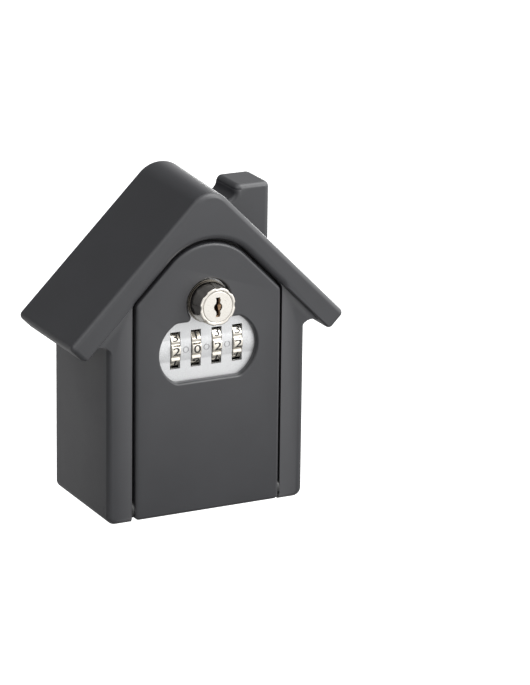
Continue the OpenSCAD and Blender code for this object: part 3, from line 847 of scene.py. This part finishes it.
def flute_radius(angle, depth, plain):
    """Radius of the fluted knob at an angle in degrees, where it would be plain without flutes."""
    pitch = 45.0
    axis_r = KNOB_R + 2.6
    start = KNOB_BASE + 1.2
    share = max(0.0, (depth - start) / (KNOB_FACE - start))
    tool_r = 1.5 + 1.6 * math.sqrt(share)
    off = math.radians(((angle + pitch / 2) % pitch) - pitch / 2)
    across = axis_r * math.sin(off)
    if abs(across) >= tool_r:
        return plain
    return min(plain, axis_r * math.cos(off) - math.sqrt(tool_r ** 2 - across ** 2))


def knob_section(angle):
    """(radius, depth) points round one cut through the knob, from its bore outwards and back."""
    down = -math.cos(math.radians(angle))
    flat_r = min(BARREL_R, BAR_FLAT_R / down) if down > 0.5 else BARREL_R
    chamfer = 0.3
    section = [(PLUG_BORE_R, BARREL_BACK), (BARREL_R, BARREL_BACK)]
    for (back, front), cut_r in ((CLIP_GROOVE, CLIP_GROOVE_R), (BAR_FLAT, flat_r)):
        section += [(BARREL_R, back), (cut_r, back), (cut_r, front), (BARREL_R, front)]
    section += [(BARREL_R, KNOB_BASE), (KNOB_BASE_R - chamfer, KNOB_BASE)]
    levels = 22
    rim = 0.55
    for i in range(levels + 1):
        depth = KNOB_BASE + chamfer + (KNOB_FACE - rim - KNOB_BASE - chamfer) * i / levels
        plain = KNOB_BASE_R + (KNOB_R - KNOB_BASE_R) * max(0, (i / levels - 0.2) / 0.8)
        section.append((flute_radius(angle, depth, plain), depth))
    last = section[-1][0]
    section += [(last - inset, depth) for depth, inset in quarter_round(KNOB_FACE, rim, 4)[1:]]
    seat_r = CAP_R + 0.05
    seat_depth = KNOB_FACE - 2.2
    section += [(seat_r + 0.2, KNOB_FACE), (seat_r, KNOB_FACE - 0.2),
                (seat_r, seat_depth), (PLUG_BORE_R, seat_depth)]
    return section


def build_knob():
    """Fluted knob, in one piece with the barrel behind it."""
    steps = 256
    rings = []
    for i in range(steps):
        angle = 360 * i / steps
        turn = math.radians(angle)
        rings.append([(r * math.sin(turn), -depth, LOCK_Z + r * math.cos(turn))
                      for r, depth in knob_section(angle)])
    knob = loft("fluted_knob", rings, closed=True)
    soften(knob, angle=50)
    place(knob, "knob", "chrome", CHROME, "knob")


def build_cap():
    """Face of the key plug, with the worn outline of a wafer keyway."""
    steps = 96
    rim = 0.3
    slices = [(KNOB_FACE - CAP_T, 0.0)] + quarter_round(KNOB_FACE - 0.02, rim, 4)
    cap = loft("plug_face", [
        at_depth(arc(0, LOCK_Z, CAP_R - inset, 0, 360 - 360 / steps, steps - 1), depth)
        for depth, inset in slices
    ])
    half_h, half_w = 4.4, 1.0
    right = []
    left = []
    teeth = 6
    for i in range(teeth + 1):
        z = LOCK_Z - half_h + 2 * half_h * i / teeth
        jog = 0.22 if i % 2 else -0.1
        right.append((half_w + jog, z))
        left.append((-half_w + jog, z))
    cut(cap, panel("keyway", right + list(reversed(left)), KNOB_FACE - 3, KNOB_FACE + 1))
    cut(cap, rod_y("dimple", 2.0, KNOB_FACE - 3, KNOB_FACE + 1, 0, LOCK_Z, steps=40))
    cut(cap, rod_y("dot", 0.28, KNOB_FACE - 0.2, KNOB_FACE + 1, 3.3, LOCK_Z + 2.6, steps=16))
    soften(cap, angle=40)
    place(cap, "plug", "nickel", CAP, "plug_cap")


build_shell()
build_door()
build_plate()
build_index_marks()
for dial_number, (dial_x, dial_shown) in enumerate(zip(DIAL_XS, SHOWN), start=1):
    build_wheel(dial_number, dial_x)
    build_numerals(dial_number, dial_x, dial_shown)
build_knob()
build_cap()

# ---- Stage, light and camera -------------------------------------------------------------------


FLOOR_Z = -30
FLOOR_HALF = 3000
# The floor's glow as the box sees it: its two strengths, and how far along a direction each is reached
FLOOR_GLOW = (0.0, 2.75)
GLOW_SPAN = (0.075, 0.595)
GLOW_ALONG = (0.45, -0.89, 0)
# The camera itself sees the floor and the room at these strengths, which are white
FLOOR_SHOWN = 2.4
ROOM_SHOWN = 1.0

ROOM_LIGHT = 0.2
# Direction of each patch of light, the cosine where it starts, and its strength
PATCHES = [
    ((1.0, 0.08, 0.25), 0.4, 2.2),
    ((-0.1, -0.05, 1.0), 0.5, 0.8),
    ((0.43, -0.28, 0.84), 0.8, 4.5),
    ((-0.54, -0.5, 0.67), 0.8, 1.2),
    ((-0.8, -0.5, 0.1), 0.7, 0.7),
    ((0.45, -0.85, 0.25), 0.5, 1.3),
]
# Name, place, target, size and power of each softbox
SOFTBOXES = [
    ("key", (0.24, -0.34, 0.27), (0, -0.03, 0.12), (0.12, 0.12), 0.45),
    ("back", (0.9, 0.95, 0.12), (0, -0.03, 0.07), (0.5, 0.2), 1.8),
]

CAMERA_ANGLES = (27.014, 17.568, 0.753)  # azimuth, elevation and roll, in degrees
CAMERA_PLACE = (-0.71078, -1.5062, 0.58953)
CAMERA_LENS = 203.95
SENSOR = 36


def camera_only(tree, others, shown):
    """One value for what the camera sees directly, and another for light that falls on the box."""
    rays = tree.nodes.new("ShaderNodeLightPath")
    choice = tree.nodes.new("ShaderNodeMix")
    choice.inputs["B"].default_value = shown
    tree.links.new(rays.outputs["Is Camera Ray"], choice.inputs["Factor"])
    tree.links.new(others, choice.inputs["A"])
    return choice.outputs["Result"]


def floor_glow(tree, place_at):
    """What the floor throws back on the box, growing towards the front and the right."""
    along = tree.nodes.new("ShaderNodeVectorMath")
    along.operation = "DOT_PRODUCT"
    along.inputs[1].default_value = GLOW_ALONG
    tree.links.new(place_at, along.inputs[0])
    glow = tree.nodes.new("ShaderNodeMapRange")
    glow.inputs["From Min"].default_value = GLOW_SPAN[0]
    glow.inputs["From Max"].default_value = GLOW_SPAN[1]
    glow.inputs["To Min"].default_value = FLOOR_GLOW[0]
    glow.inputs["To Max"].default_value = FLOOR_GLOW[1]
    tree.links.new(along.outputs["Value"], glow.inputs["Value"])
    return glow.outputs["Result"]


def floor_finish():
    """Pale floor that looks white to the camera and lights the box from below."""
    material, tree, bsdf, place_at = shader("floor", (0.9, 0.9, 0.9), 0.9)
    speckle = noise(tree, place_at, 40)
    matt = tint(tree, speckle, (0.19, 0.19, 0.19), (0.21, 0.21, 0.21))
    pale = tint(tree, speckle, (0.44, 0.44, 0.44), (0.46, 0.46, 0.46))
    tree.links.new(matt, bsdf.inputs["Base Color"])
    tree.links.new(pale, bsdf.inputs["Emission Color"])
    strength = camera_only(tree, floor_glow(tree, place_at), FLOOR_SHOWN)
    tree.links.new(strength, bsdf.inputs["Emission Strength"])
    return material


def build_floor():
    """Flat floor below the box, which leaves room for the open door."""
    half = FLOOR_HALF
    bm = bmesh.new()
    bm.faces.new([bm.verts.new((x, y, FLOOR_Z))
                  for x, y in ((-half, -half), (half, -half), (half, half), (-half, half))])
    floor = new_object("floor", bm)
    floor.data.materials.append(floor_finish())


def lobe(tree, direction, start, level, total):
    """A soft patch of light round a direction, from nothing at the start cosine up to a level."""
    coordinates = tree.nodes.new("ShaderNodeTexCoord")
    facing = tree.nodes.new("ShaderNodeVectorMath")
    facing.operation = "DOT_PRODUCT"
    facing.inputs[1].default_value = Vector(direction).normalized()
    tree.links.new(coordinates.outputs["Generated"], facing.inputs[0])
    fade = tree.nodes.new("ShaderNodeMapRange")
    fade.interpolation_type = "SMOOTHSTEP"
    fade.inputs["From Min"].default_value = start
    fade.inputs["To Max"].default_value = level
    tree.links.new(facing.outputs["Value"], fade.inputs["Value"])
    added = tree.nodes.new("ShaderNodeMath")
    added.operation = "ADD"
    tree.links.new(fade.outputs["Result"], added.inputs[0])
    tree.links.new(total, added.inputs[1])
    return added.outputs["Value"]


def build_world():
    """White to the camera. Everything else sees a dim room with broad patches of light."""
    world = bpy.data.worlds.new("studio")
    world.use_nodes = True
    bpy.context.scene.world = world
    tree = world.node_tree
    room = tree.nodes.new("ShaderNodeValue")
    room.outputs["Value"].default_value = ROOM_LIGHT
    total = room.outputs["Value"]
    for direction, start, level in PATCHES:
        total = lobe(tree, direction, start, level, total)
    tree.links.new(camera_only(tree, total, ROOM_SHOWN), tree.nodes["Background"].inputs["Strength"])
    tree.nodes["Background"].inputs["Color"].default_value = (1, 1, 1, 1)


def softbox(name, position, target, size, power):
    """Soft rectangular light that faces its target."""
    light = bpy.data.lights.new(name, "AREA")
    light.shape = "RECTANGLE"
    light.size, light.size_y = size
    light.energy = power
    lamp = bpy.data.objects.new(name, light)
    lamp.location = position
    lamp.rotation_euler = (Vector(target) - Vector(position)).to_track_quat("-Z", "Y").to_euler()
    bpy.context.scene.collection.objects.link(lamp)


def build_camera():
    """Camera at the viewing angle that shows the front, the left wall and the roof."""
    azimuth, elevation, roll = (math.radians(a) for a in CAMERA_ANGLES)
    back = Vector((-math.sin(azimuth) * math.cos(elevation),
                   -math.cos(azimuth) * math.cos(elevation), math.sin(elevation)))
    right = Vector((0, 0, 1)).cross(back).normalized()
    up = back.cross(right)
    rolled_right = right * math.cos(roll) + up * math.sin(roll)
    rolled_up = up * math.cos(roll) - right * math.sin(roll)
    turn = Matrix((rolled_right, rolled_up, back)).transposed()
    data = bpy.data.cameras.new("camera")
    data.lens = CAMERA_LENS
    data.sensor_width = SENSOR
    data.clip_end = 20
    camera = bpy.data.objects.new("camera", data)
    camera.matrix_world = Matrix.Translation(CAMERA_PLACE) @ turn.to_4x4()
    bpy.context.scene.collection.objects.link(camera)
    bpy.context.scene.camera = camera


build_floor()
build_world()
for box_of_light in SOFTBOXES:
    softbox(*box_of_light)
build_camera()
bpy.context.scene.view_settings.view_transform = "Standard"
